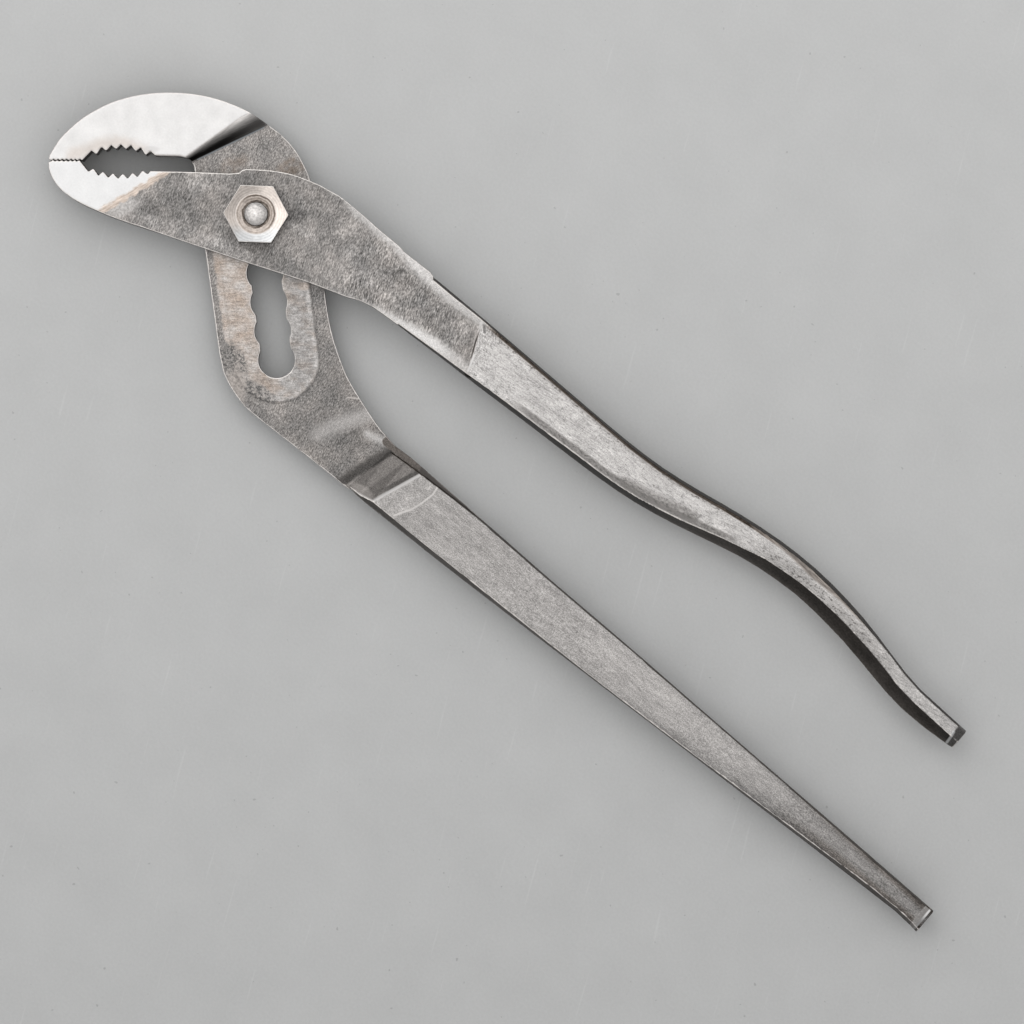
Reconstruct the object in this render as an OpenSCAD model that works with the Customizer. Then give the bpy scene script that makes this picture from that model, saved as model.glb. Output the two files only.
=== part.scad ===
// Water pump pliers with a slotted slip joint of six places.
// Origin on the pivot axis, on the rear face of the bolt head. X runs along the handles,
// Y towards the front handle, Z up through the joint. Millimetres.

/* [Levers] */
// Distance from the pivot to the ends of the handles
handle_length = 208; // [190:1:230]
// Thickness of each lever's plate at the joint
plate_t = 5; // [4.6:0.1:5.6]
// Gap between the two plates, and under the nut and the bolt head
face_gap = 0.1; // [0.05:0.05:0.2]
// Height of the ground pads that the plates slide on
pad_h = 0.15; // [0.1:0.05:0.3]

/* [Slot] */
// Pitch of the places along the slot
slot_pitch = 6.3; // [6:0.05:6.5]
// Steps from the first place to the last
slot_steps = 5; // [3:1:5]
// Diameter of the round place that takes the bolt
scallop_d = 7.9; // [7.5:0.1:8.3]
// Clearance on each side of the shank in the straight part of the slot
slot_clear = 0.08; // [0.05:0.01:0.2]

/* [Pivot] */
// Diameter of the bolt's shank
shank_d = 6.2; // [5.8:0.1:6.6]
// Radial clearance of the shank in the front lever
shank_clear = 0.05; // [0.03:0.01:0.1]
// Diameter of the stud that takes the nut
stud_d = 5; // [4.6:0.1:6]
// Radial clearance of the stud in the nut
stud_clear = 0.05; // [0.02:0.01:0.1]
// Diameter of the bolt's head
head_d = 14.5; // [13:0.5:16]
// Height of the bolt's head
head_h = 2.6; // [2:0.1:3]
// Width of the nut across its flats
nut_af = 12.2; // [11:0.1:13]
// Height of the nut
nut_h = 4.5; // [3.5:0.1:5]

/* [Teeth] */
// Coarse teeth in each jaw
tooth_count = 7; // [5:1:7]
// Pitch of the coarse teeth
tooth_pitch = 2.115; // [1.9:0.005:2.15]
// Depth of the coarse teeth
tooth_depth = 0.95; // [0.6:0.05:1.1]
// Fine serrations at the jaw tips
serrations = 7; // [4:1:7]
// Depth of the fine serrations
serration_depth = 0.35; // [0.2:0.05:0.4]

/* [Hidden] */
$fn = 64;
head_angle = 40;
serration_pitch = 0.94;
serration_gap = 0.26;
bite_y = 11.72;

// levels through the joint, from the rear face of the bolt head up
z_back = head_h + face_gap;
z_split = z_back + plate_t;
z_front = z_split + face_gap;
z_top = z_front + plate_t;
z_nut = z_top + face_gap;
z_back_part = z_split - 0.45;
z_front_part = z_front + 0.45;

// slot, in the frame of the jaws: x along the jaws, y towards the upper jaw
slot_angle = -82.3;
slot_dir = [cos(slot_angle), sin(slot_angle)];
slot_side = [-sin(slot_angle), cos(slot_angle)];
slot_len = slot_pitch * slot_steps;
slot_end = head(slot_dir * slot_len);
// the straight part clears the shank on the left, and by this more on the right
neck_ease = 0.15;
neck_left = shank_d / 2 + slot_clear;
neck_w = shank_d + 2 * slot_clear + neck_ease;
// the band's straight sides lie a little inside its round ends, so that they cross them
band_r = 9.2;
band_half = band_r - 0.02;
wall_left = 12.1;

function head(p) = [
    p.x * cos(head_angle) - p.y * sin(head_angle),
    p.x * sin(head_angle) + p.y * cos(head_angle)
];
function heads(pts) = [for (p = pts) head(p)];
function reverse(v) = [for (i = [len(v) - 1:-1:0]) v[i]];
// point at distance s along the slot's axis and t to its right
function slot_at(s, t) = slot_dir * s + slot_side * t;

// smooth curve through points, n pieces for each span
function blend(a, b, c, d, t) =
    0.5 * (2 * b + (c - a) * t + (2 * a - 5 * b + 4 * c - d) * t * t
    + (3 * b - a - 3 * c + d) * t * t * t);
function smooth(p, n) = concat(
    [for (i = [0:len(p) - 2], k = [0:n - 1])
        blend(p[max(i - 1, 0)], p[i], p[i + 1], p[min(i + 2, len(p) - 1)], k / n)],
    [p[len(p) - 1]]
);

// teeth, left to right, in the frame of the jaws, on arcs through their tips and valleys
function arch(x, mid, y0, r, s) = y0 + s * (r - sqrt(r * r - (x - mid) * (x - mid)));
tip_half = 0.14;
upper_mid = -29.2;
lower_mid = -29.85;
function tooth_x(mid, k) = mid + (k - (tooth_count - 1) / 2) * tooth_pitch;
function upper_valley(x) = [x, arch(x, -29.3, 15.12, 15.6, -1)];
function upper_tip(x) = [x, arch(x, -29.4, 15.2 - tooth_depth, 12.2, -1)];
function lower_valley(x) = [x, arch(x, -29.2, 7.72, 17, 1)];
function lower_tip(x) = [x, arch(x, -29.2, 7.75 + tooth_depth, 16.5, 1)];
function upper_teeth() =
    [for (k = [0:tooth_count - 1], j = [0:(k < tooth_count - 1 ? 2 : 0)])
        j == 0 ? upper_valley(tooth_x(upper_mid, k))
        : upper_tip(tooth_x(upper_mid, k + 0.5) + (j == 1 ? -tip_half : tip_half))];
function lower_teeth() =
    [for (k = [0:tooth_count - 1], j = [0:(k < tooth_count - 1 ? 2 : 0)])
        j == 0 ? lower_valley(tooth_x(lower_mid, k))
        : lower_tip(tooth_x(lower_mid, k + 0.5) + (j == 1 ? -tip_half : tip_half))];
upper_tip_x = -37.6;
lower_tip_x = -38.22;
function upper_serrations() =
    [for (k = [serrations:-1:0], j = [0:(k > 0 ? 1 : 0)])
        j == 0
        ? [upper_tip_x - k * serration_pitch,
            bite_y + serration_gap / 2 - serration_depth / 2]
        : [upper_tip_x - (k - 0.5) * serration_pitch,
            bite_y + serration_gap / 2 + serration_depth / 2]];
function lower_serrations() =
    [for (k = [serrations - 1:-1:0], j = [0:1])
        j == 0
        ? [lower_tip_x - (k + 0.5) * serration_pitch,
            bite_y - serration_gap / 2 - serration_depth / 2]
        : [lower_tip_x - k * serration_pitch,
            bite_y - serration_gap / 2 + serration_depth / 2]];

// outline of the back lever's head, in the frame of the jaws, from the nose over the top
back_over = smooth([
    [-44.8, 11.95], [-44.5, 12.9], [-43.5, 14.6], [-42.1, 16.6], [-40.2, 18.5], [-38.1, 20.3],
    [-35.9, 21.8], [-31.6, 24.0], [-27.3, 25.35], [-23, 26.1], [-18.7, 26.3], [-14.4, 26.05],
    [-10.1, 25.3], [-5.75, 23.95], [-1.44, 22], [1.9, 19.9], [5.2, 17.4], [7.7, 14.8],
    [9.8, 11.5], [11.5, 7.4], [12.4, 2], [13.3, -6], [14.5, -15.5], [15.2, -20.8],
    [16.2, -25.6], [17.5, -29.8], [19.3, -34.5], [21.6, -38.6], [24.4, -43], [26.4, -45.9],
    [29.5, -49.5]
], 4);
back_foot_right = [29.75, -49.85];
back_foot_left = [19.7, -59.1];
back_under = smooth([
    [15.7, -55.9], [9.6, -51.1], [3.7, -46.5], [0.03, -43.65], [-2.8, -41.15],
    [-5.3, -37.85], [-7.1, -34.4], [-7.65, -32.3], slot_at(28.5, -wall_left)
], 3);
throat = slot_at(-9.4, -wall_left);
back_bite = concat(
    [[-44.75, 11.95]], upper_serrations(), upper_teeth(),
    [[-21.92, 12.82], [-16.5, 12.7], [-15.45, 12.4], [-14.4, 12.1], [-13.6, 10.6]]
);
back_outline = concat(
    heads(back_over),
    [head(back_foot_right), [57.6, -22.4], [56.6, -29.4]],
    heads([back_foot_left]), heads(back_under),
    [head(throat)], heads(reverse(back_bite))
);

// top edge of the shoulder behind the upper jaw, and how far its slope runs out
shoulder_a = [-15.3, 12.4];
shoulder_b = [-1.9, 21.9];
shoulder_run = 1.1;
// foot of a second, flatter slope, which widens the shoulder towards the rim
shoulder_foot_a = [-13.6, 11.9];
shoulder_foot_b = [1.8, 19.3];
shoulder_spread = 3.7;
// foot of the lower jaw's hidden heel, where the plates meet, and how far its slope runs
heel_a = [-21, -3.6];
heel_b = [-15.9, 9.4];
heel_run = 1.6;

// outline of the front lever's head, from the nose under the jaw
front_under = smooth([
    [-44.8, 11.3], [-44.6, 9.4], [-43.65, 7.3], [-42.4, 5.67], [-40.35, 3.95], [-38.25, 2.65],
    [-36, 1.55], [-31.7, -0.3], [-27.35, -1.85], [-25.15, -2.55]
], 4);
front_belly = [[-12.25, -6.95], [-1.45, -10.55], [11.3, -14.65], [19.5, -17.8]];
front_low = [[29, 0.1], [32, 0.85], [36.2, 1.2], [38.5, 1.35]];
// lower edge of the front lever where it comes to lie beside the back handle's root
front_sole = concat([[27.4, -0.6]], front_low, [[46, 1.72], [54, 2.08], [62, 2.43]]);
relief_gap = 0.3;
ridge_a = [52.2, 13.5];
ridge_b = [56.6, 3.4];
dish_r = 16;
dish_h = 0.5;
nut_turn = 38;
front_brow = smooth([
    [13.6, 6.4], [11.1, 7.45], [9.3, 8.15], [7.2, 8.8], [5, 9.25], [2.6, 9.55], [0.7, 9.7],
    [-2.2, 9.85]
], 2);
front_bite = concat(
    lower_serrations(), lower_teeth(),
    [[-22.78, 9.37], [-13.3, 9.16], [-5.75, 8.84], [-3.6, 9.05], [-3.15, 9.6]]
);
front_outline = concat(
    heads(front_under), heads(front_belly), front_low,
    [[40.5, 4.5], [40.5, 11.5], [37.7, 14.3], [36.6, 14.6]],
    smooth([[29.3, 14.3], [28, 14.6], [22.5, 14.55], [17, 14.7], [11.2, 14.6]], 2),
    heads(front_brow), heads(reverse(front_bite))
);

// handles: y of the top face's edges and of the widest points, against x
back_in_top = smooth([
    [48, -19.3], [54.8, -19.2], [61, -19.05], [65, -19.35], [73.2, -19.45], [85, -19.6],
    [100, -19.85], [120, -19.98], [140, -20.3], [160, -20.6], [178, -20.98], [191.4, -21.3],
    [208.6, -21.5]
], 4);
back_in_wide = smooth([
    [48, -19.2], [54.8, -19], [58, -18.7], [73.1, -18.95], [90, -19.33], [100, -19.55],
    [120, -19.7], [140, -20.05], [160, -20.36], [184.3, -20.72], [208.6, -21.15]
], 4);
back_out_top = smooth([
    [48, -31.8], [53.5, -32.15], [56.5, -32], [59, -31.35], [64, -31.25], [70, -31.28],
    [80, -31.02], [100, -30.5], [120, -29.88], [140, -28.98], [160, -27.88], [180, -26.75],
    [192, -26.05], [200, -25.8], [205, -25.9], [208.6, -26.4]
], 4);
back_out_wide = smooth([
    [48, -31.9], [53, -32.35], [58, -32.6], [70.5, -32.25], [80, -32], [100, -31.13],
    [120, -30.2], [135, -29.5], [155, -28.6], [180, -27.47], [200, -26.65], [204.5, -26.62],
    [208.6, -27.05]
], 4);
front_in_top = smooth([
    [34, 13], [38.7, 13.75], [44.4, 13.7], [54, 13.95], [62, 13.83], [73.8, 13.68], [86, 13.58],
    [94, 13.58], [102, 14], [110, 14.95], [118, 16.4], [126, 17.6], [134, 18.3], [142, 18.35],
    [150, 17.65], [158, 16.55], [166, 15.05], [174, 13.4], [182, 12.95], [189, 12.8]
], 4);
front_in_wide = smooth([
    [34, 13.4], [38, 14.25], [43.4, 14.32], [54, 14.34], [70, 14.2], [86, 14.07], [94, 14.14],
    [102, 14.58], [110, 15.65], [118, 17.08], [126, 18.28], [134, 19.02], [142, 19.12],
    [150, 18.5], [158, 17.3], [166, 15.48], [174, 13.82], [182, 13.43], [189, 13.15]
], 4);
front_out_top = smooth([
    [34, 2.2], [38.5, 1.6], [46, 2.15], [54, 2.65], [62, 3.27], [70, 3.77], [78, 4.15],
    [86, 4.68], [94, 5.08], [102, 6], [110, 7.75], [114, 8.8], [118, 10], [122, 11.2],
    [126, 12.15], [130, 13.35], [134, 13.95], [142, 14.65], [150, 14.45], [154.6, 14],
    [160, 13.4], [166, 12.3], [170.9, 11.2], [176.8, 10.55], [189, 10.1]
], 4);
front_out_wide = smooth([
    [34, 2], [38.5, 1.35], [46, 1.72], [54, 2.08], [62, 2.43], [70, 2.85], [78, 3.22],
    [86, 3.57], [94, 4.02], [102, 4.87], [110, 6.35], [118, 8.28], [126, 10.25], [130, 10.95],
    [134, 11.5], [142, 12], [150, 11.52], [158, 10.55], [166, 9.07], [174, 7.85], [182, 7.8],
    [189, 8.35]
], 4);

// levels of the handles, against x
back_high = [
    [48, z_split - 2.6], [53.7, z_split], [61.2, z_split + 3.15], [66.3, z_split + 3.6],
    [140, z_split + 3.3], [204, z_split + 2.7], [206.6, z_split + 2.5], [208.6, z_split + 1.5]
];
back_low = [
    [48, z_back + 0.6], [52, z_back - 0.1], [60, z_back - 0.1], [75, z_back + 0.4],
    [140, z_back + 0.7], [206.6, z_back + 1.2], [208.6, z_back + 2.2]
];
front_high = [
    [34, z_top - 0.4], [38.5, z_top + 0.04], [54.4, z_top + 0.06], [75, z_top - 0.2],
    [125, z_top - 0.5], [186.8, z_top - 1.3], [189, z_top - 2.6]
];
front_back = [
    [34, z_front + 0.6], [38.5, z_front + pad_h - 0.02], [52, z_front + pad_h - 0.02],
    [59, z_front - 3.5], [125, z_front - 3.3], [186.8, z_front - 2.5], [189, z_front - 1.2]
];
// how far the stations lean: the inner side runs ahead of the outer by this
back_skew = [[48, 1], [53.7, 2.1], [61.2, 4.5], [66.3, 3.1], [76, 0], [210, 0]];
front_skew = [[34, 0], [46, 0], [54.4, -4.4], [68, 0], [210, 0]];

function stretch(x) = x < 66 ? x : 66 + (x - 66) * (handle_length - 66) / (208 - 66);
// eight points of one cross-section of a handle, the inner side first
function section(x, it, iw, ow, ot, hi, lo, part, skew) =
    let (s = lookup(x, skew) / 2, a = stretch(x + s), b = stretch(x - s))
    let (zh = lookup(x, hi), zl = lookup(x, lo))
    let (zp = max(min(part, zh - 0.3), zl + 0.25))
    [
        [a, lookup(x + s, it), zl], [a, lookup(x + s, iw), zp], [a, lookup(x + s, it), zh],
        [b, lookup(x - s, ot), zh], [b, lookup(x - s, ow), zp], [b, lookup(x - s, ot), zl]
    ];

module loft(rings) {
    n = len(rings);
    m = len(rings[0]);
    polyhedron(
        points = [for (r = rings, p = r) p],
        faces = concat(
            [[for (i = [0:m - 1]) i]],
            [for (k = [0:n - 2], i = [0:m - 1])
                [k * m + i, (k + 1) * m + i, (k + 1) * m + (i + 1) % m]],
            [for (k = [0:n - 2], i = [0:m - 1])
                [k * m + i, (k + 1) * m + (i + 1) % m, k * m + (i + 1) % m]],
            [[for (i = [m - 1:-1:0]) (n - 1) * m + i]]
        ),
        convexity = 6
    );
}

back_x = concat([48, 51, 53.7, 57.4, 61.2, 66.3], [for (x = [72:6.2:203]) x], [206.6, 208.6]);
front_x = concat(
    [34, 38.5, 43.4, 48, 52, 54.4, 59, 63], [for (x = [68:4.9:184]) x], [186.8, 189]
);

module back_handle() {
    loft([for (x = back_x) section(x, back_in_top, back_in_wide, back_out_wide,
        back_out_top, back_high, back_low, z_back_part, back_skew)]);
}

module front_handle() {
    loft([for (x = front_x) section(x, front_in_top, front_in_wide, front_out_wide,
        front_out_top, front_high, front_back, z_front_part, front_skew)]);
}

// solid that stays beside a line when the rest is cut back. It lies to the left of the line
// from a to b, out to v0 at height 0 and to v1 at height rise.
module keep_beside(a, b, v0, v1, rise) {
    d = b - a;
    lean = (v1 - v0) / rise;
    translate([a.x, a.y, 0])
        rotate([0, 0, atan2(d.y, d.x)])
            rotate([90, 0, 90])
                translate([0, 0, -30])
                    linear_extrude(norm(d) + 60)
                        polygon([[v0 - lean, -1], [v1 + lean, rise + 1],
                            [60, rise + 1], [60, -1]]);
}

// pad round the slot that the front lever slides on
module slot_band(h) {
    rotate(head_angle) {
        cylinder(h = h, r = band_r);
        translate(concat(slot_dir * slot_len, [0]))
            cylinder(h = h, r = band_r);
        rotate(slot_angle)
            translate([0, -band_half, 0])
                cube([slot_len, 2 * band_half, h]);
    }
}

module slot_cut() {
    rotate(head_angle) {
        for (i = [0:slot_steps])
            translate(concat(slot_dir * slot_pitch * i, [z_back - 1]))
                cylinder(h = plate_t + 2, d = scallop_d);
        rotate(slot_angle)
            translate([0, -neck_left, z_back - 1])
                cube([slot_len, neck_w, plate_t + 2]);
    }
}

// room over the back plate for the front lever
module back_room() {
    difference() {
        translate([-60, -80, z_split - pad_h])
            cube([122, 130, plate_t + 5]);
        translate([0, 0, z_split - pad_h - 1])
            slot_band(pad_h + 1);
        rotate(head_angle)
            translate([0, 0, z_split]) {
                keep_beside(shoulder_a, shoulder_b, -shoulder_run, 0, z_top - z_split);
                keep_beside(shoulder_foot_a, shoulder_foot_b, 0, shoulder_spread,
                    z_top - z_split);
            }
    }
}

// room under the front plate for the back lever
module front_room() {
    difference() {
        translate([-60, -40, z_back - 2])
            cube([110, 100, z_front + pad_h - z_back + 2]);
        translate([0, 0, z_front])
            cylinder(h = pad_h + 1, r = band_r);
        rotate(head_angle)
            translate([0, 0, z_front])
                mirror([0, 0, 1])
                    keep_beside(heel_a, heel_b, 0, heel_run, z_front - z_back);
    }
}

// room in the back handle's root for the front lever's edge in the last place
module root_relief() {
    reach = [slot_end.x, slot_end.y - relief_gap];
    translate([0, 0, z_split])
        linear_extrude(plate_t + 2)
            polygon(concat(
                [for (p = front_sole) p + reach],
                [[front_sole[len(front_sole) - 1].x, 20] + reach, [front_sole[0].x, 20] + reach]
            ));
}

// shallow hollow of the front plate, which the ridge ends
module front_dish() {
    a = [20, 7.2, z_top + dish_r - 0.04];
    b = [56, 8.9, z_top + dish_r - dish_h];
    d = b - a;
    difference() {
        translate(a)
            rotate([0, acos(d.z / norm(d)), atan2(d.y, d.x)])
                cylinder(h = norm(d) + 4, r = dish_r, $fn = 128);
        translate([0, 0, z_top - 1.5])
            keep_beside(ridge_a, ridge_b, -1.2, 0, 1.5);
    }
}

module back_lever() {
    color("silver")
    difference() {
        union() {
            difference() {
                translate([0, 0, z_back])
                    linear_extrude(z_top - z_back)
                        polygon(back_outline);
                back_room();
            }
            back_handle();
        }
        slot_cut();
        root_relief();
    }
}

module front_lever() {
    color("gainsboro")
    difference() {
        union() {
            difference() {
                translate([0, 0, z_back])
                    linear_extrude(z_top - z_back)
                        polygon(front_outline);
                front_room();
            }
            front_handle();
        }
        translate([0, 0, z_front - 1])
            cylinder(h = plate_t + 2, d = shank_d + 2 * shank_clear);
        front_dish();
    }
}

module pivot_bolt() {
    hr = head_d / 2;
    sr = shank_d / 2;
    tr = stud_d / 2;
    top = z_nut + nut_h;
    color("darkgray")
    rotate_extrude()
        polygon(concat(
            [[0, 0], [hr - 0.6, 0], [hr, 0.6], [hr, head_h - 0.4], [hr - 0.4, head_h],
                [sr, head_h], [sr, z_top + 0.05], [tr, z_top + 0.05], [tr, top - 0.1],
                [tr - 0.45, top + 0.35]],
            [for (a = [0:15:75]) [(tr - 0.6) * cos(a), top + 0.4 + 0.4 * sin(a)]],
            [[0, top + 0.8]]
        ));
}

module hex_nut() {
    rr = nut_af / 2 / cos(30);
    color("rosybrown")
    translate([0, 0, z_nut])
        difference() {
            intersection() {
                rotate(nut_turn)
                    cylinder(h = nut_h, r = rr, $fn = 6);
                rotate_extrude()
                    polygon([[0, 0], [nut_af / 2 + 0.1, 0], [rr + 0.05, 0.5],
                        [rr + 0.05, nut_h - 0.1], [rr - 0.15, nut_h], [0, nut_h]]);
            }
            translate([0, 0, -1])
                cylinder(h = nut_h + 2, d = stud_d + 2 * stud_clear);
            translate([0, 0, nut_h - 0.8])
                cylinder(h = 1.6, r1 = stud_d / 2 + 0.05, r2 = stud_d / 2 + 3.2);
        }
}

back_lever();
front_lever();
pivot_bolt();
hex_nut();
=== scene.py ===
"""Looks of the water pump pliers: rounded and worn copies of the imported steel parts,
with materials that are worked out from the place on each part."""

import math

import bpy
import numpy as np
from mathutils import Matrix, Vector


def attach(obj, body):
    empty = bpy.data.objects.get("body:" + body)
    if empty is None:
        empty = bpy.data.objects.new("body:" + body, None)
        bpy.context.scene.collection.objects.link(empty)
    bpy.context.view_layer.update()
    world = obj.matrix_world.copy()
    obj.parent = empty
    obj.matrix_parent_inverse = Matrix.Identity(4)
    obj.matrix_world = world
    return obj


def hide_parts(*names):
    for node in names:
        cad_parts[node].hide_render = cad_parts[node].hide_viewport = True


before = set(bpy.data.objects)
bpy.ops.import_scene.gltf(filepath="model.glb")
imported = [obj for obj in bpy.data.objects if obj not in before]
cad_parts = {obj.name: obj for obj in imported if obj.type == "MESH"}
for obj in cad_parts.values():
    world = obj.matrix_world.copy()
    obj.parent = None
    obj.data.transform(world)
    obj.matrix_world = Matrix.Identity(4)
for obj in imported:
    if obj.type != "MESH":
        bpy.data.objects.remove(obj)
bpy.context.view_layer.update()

MM = 0.001

# how far the picture is turned, so that the handles run down to its right corner
HEAD_ANGLE = math.radians(40)

# the camera: straight above, far away, with the picture's centre and width in millimetres
VIEW_CENTRE = (83.4, -13.7)
VIEW_HEIGHT = 2000.0
VIEW_LEVEL = 12.8
VIEW_WIDTH = 220.7
SENSOR = 36.0

# nearest and farthest distance that the camera sees, in metres
VIEW_NEAR = 0.05
VIEW_FAR = 20.0

# the sky's strength at the horizon, what is added straight above, and how fast that falls off
SKY_LOW = 0.35
SKY_HIGH = 0.95
SKY_STEEPNESS = 3.0

# one large lamp: watts, side, and place right of, above and over the picture's centre in metres
KEY_POWER = 8.5
KEY_SIZE = 1.6
KEY_PLACE = (-0.4, 0.6, 1.6)

# how a steel's tone and warmth become its colour, and how much brighter than its colour
# a level face looks in this light
TONE_LEAST = 0.03
TONE_MOST = 1.1
SCREEN_GAMMA = 2.2
WARM_RED = 0.15
WARM_BLUE = 0.11
LEVEL_GAIN = 1.5

# roughness of the steel's finishes, from edges rubbed bright to the forging's skin
RUBBED = 0.34
POLISHED = 0.36
BRUSHED = 0.38
SATIN = 0.4
GROUND = 0.42
DULL = 0.45
FORGED = 0.5

# floor: colour, roughness, half its side in metres, and how many millimetres it lies below
# the bolt's head
FLOOR_COLOR = (0.568, 0.57, 0.566)
FLOOR_ROUGH = 0.6
FLOOR_HALF = 3.0
FLOOR_DROP = 0.02

# how the worn copies are meshed: sizes in millimetres, most faces, share and rounds of
# smoothing, and the share of a voxel by which an edge bends where it counts fully in the
# edge mask for wear and painted highlight
LEVER_VOXEL = 0.17
LEVER_FACES = 190000
SMALL_VOXEL = 0.11
SMALL_FACES = 60000
WELD_GAP = 0.002
SOFTEN_SHARE = 0.5
SOFTEN_ROUNDS = 3
EDGE_SHARE = 0.3

# sizes of the forged grain and the fine scratches in millimetres, and how many times as
# long as wide a scratch is
GRAIN = 0.23
GRAIN_COARSE = 0.55
SCRATCH = 0.26
SCRATCH_STRETCH = 7.0

# levels of the back plate, its ground band and the levers' top, in millimetres
BACK_PLATE = 7.55
BACK_BAND = 7.7
TOP = 12.8

# the slot's middle line, the polish's end on the lower jaw, the edges of the slopes and
# the front handle's start, each seen from above, in millimetres
SLOT = ((0.0, 0.0), (23.29, -21.2))
POLISH_END = ((-26.9, -21.4), (-22.2, -7.9))
SHOULDER_FOOT = ((-18.07, 0.37), (-11.03, 15.94))
SHOULDER_EDGE = ((-19.69, -0.34), (-15.53, 15.55))
STEP_FOOT = ((50.8, -33.0), (55.2, -19.0))
STEP_RIDGE = ((58.9, -31.2), (63.6, -19.2))
DISH_RIDGE = ((56.4, 3.4), (52.0, 13.5))
HANDLE_START = ((56.6, 3.4), (52.2, 13.5))

# outlines of the front handle's top face: points (x, y) along its lower and its upper edge
HANDLE_LOW = ((54, 2.6), (70, 3.8), (94, 5.1), (102, 6.0), (110, 7.8), (118, 10.0),
              (126, 12.1), (134, 13.9), (142, 14.6), (150, 14.4), (166, 12.3),
              (176, 10.6), (189, 10.1))
HANDLE_HIGH = ((54, 13.9), (94, 13.6), (102, 14.0), (110, 15.0), (118, 16.4),
               (126, 17.6), (134, 18.3), (142, 18.3), (150, 17.6), (158, 16.5),
               (166, 15.0), (174, 13.4), (189, 12.8))

# stains of the front plate: x, y, half length, half width, turn in degrees, brighter by
PLATE_STAINS = (
    (-14.3, -2.3, 2.9, 2.2, 40, 0.2),
    (-16.5, -11.1, 3.9, 2.9, 40, -0.08),
    (-9.0, -5.5, 4.0, 2.6, 70, -0.1),
    (-3.2, -10.2, 2.6, 1.0, 20, 0.2),
    (4.6, -5.3, 3.4, 1.8, 20, -0.14),
    (10.4, 3.8, 3.6, 1.0, 10, 0.18),
    (16.7, 9.7, 3.0, 1.3, 60, 0.12),
    (6.7, 5.2, 2.2, 1.4, 40, -0.22),
    (20.8, 7.1, 2.8, 1.2, 85, 0.16),
    (31.0, 9.5, 4.5, 1.6, 0, -0.12),
    (25.0, 4.0, 4.0, 2.0, 20, 0.06),
    (-5.0, 7.5, 5.0, 1.4, 45, -0.08),
)

# thin painted highlights on the back step, and thin painted highlights and a painted shadow on
# the
# ridge of the front plate: points, half width, soft edge, share, tone, and warmth or None where
# it stays as it is
STEP_HIGHLIGHT_LINES = (
    (((67.6, -19.4), (67.9, -21.8), (67.2, -25.0), (66.4, -27.3), (64.4, -30.6)),
     0.05, 0.3, 0.8, 0.84, 0.3),
    (((63.2, -19.9), (59.0, -30.8)), 0.15, 0.35, 1.0, 0.8, 0.2),
    (((53.7, -32.3), (59.0, -31.1)), 0.1, 0.25, 1.0, 0.85, 0.3),
)
RIDGE_LIGHT_AND_SHADOW_LINES = (
    (((53.5, 11.0), (54.9, 8.2)), 0.1, 0.25, 0.25, 0.78, 0.2),
    (((55.4, 7.0), (56.6, 3.5)), 0.1, 0.25, 1.0, 0.84, 0.2),
    (((52.1, 13.4), (53.2, 11.2)), 0.15, 0.3, 0.6, 0.82, 0.2),
    # a painted shadow beside the top of the front plate's ridge
    (((52.9, 13.2), (54.0, 12.2)), 0.1, 0.35, 0.6, 0.42, None),
)


class Value:
    """A number in a material's node tree, with the usual sums."""

    def __init__(self, paint, socket):
        self.paint = paint
        self.socket = socket

    def __add__(self, other):
        return self.paint.math("ADD", self, other)

    def __sub__(self, other):
        return self.paint.math("SUBTRACT", self, other)

    def __rsub__(self, other):
        return self.paint.math("SUBTRACT", other, self)

    def __mul__(self, other):
        return self.paint.math("MULTIPLY", self, other)

    def __truediv__(self, other):
        return self.paint.math("DIVIDE", self, other)

    __radd__ = __add__
    __rmul__ = __mul__

    def abs(self):
        return self.paint.math("ABSOLUTE", self)

    def square(self):
        return self.paint.math("MULTIPLY", self, self)

    def root(self):
        return self.paint.math("SQRT", self)

    def power(self, other):
        return self.paint.math("POWER", self, other)

    def low(self, other):
        return self.paint.math("MINIMUM", self, other)

    def high(self, other):
        return self.paint.math("MAXIMUM", self, other)

    def wave(self):
        return self.paint.math("SINE", self)

    def ramp(self, a, b, low=0.0, high=1.0, kind="SMOOTHSTEP"):
        """Runs from low at a to high at b."""
        node = self.paint.new("ShaderNodeMapRange")
        node.interpolation_type = kind
        self.paint.put(node.inputs["Value"], self)
        for name, value in (("From Min", a), ("From Max", b), ("To Min", low), ("To Max", high)):
            self.paint.put(node.inputs[name], value)
        return Value(self.paint, node.outputs["Result"])

    def band(self, low, high, soft):
        """1 from low to high, falling to 0 over soft on both sides."""
        middle, half = (low + high) / 2, (high - low) / 2
        return (self - middle).abs().ramp(half, half + soft, 1.0, 0.0)

    def curve(self, points):
        """Broken line through points (value, result)."""
        total = points[0][1]
        for (a, low), (b, high) in zip(points, points[1:]):
            total = self.ramp(a, b, 0.0, high - low, "LINEAR") + total
        return total


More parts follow.
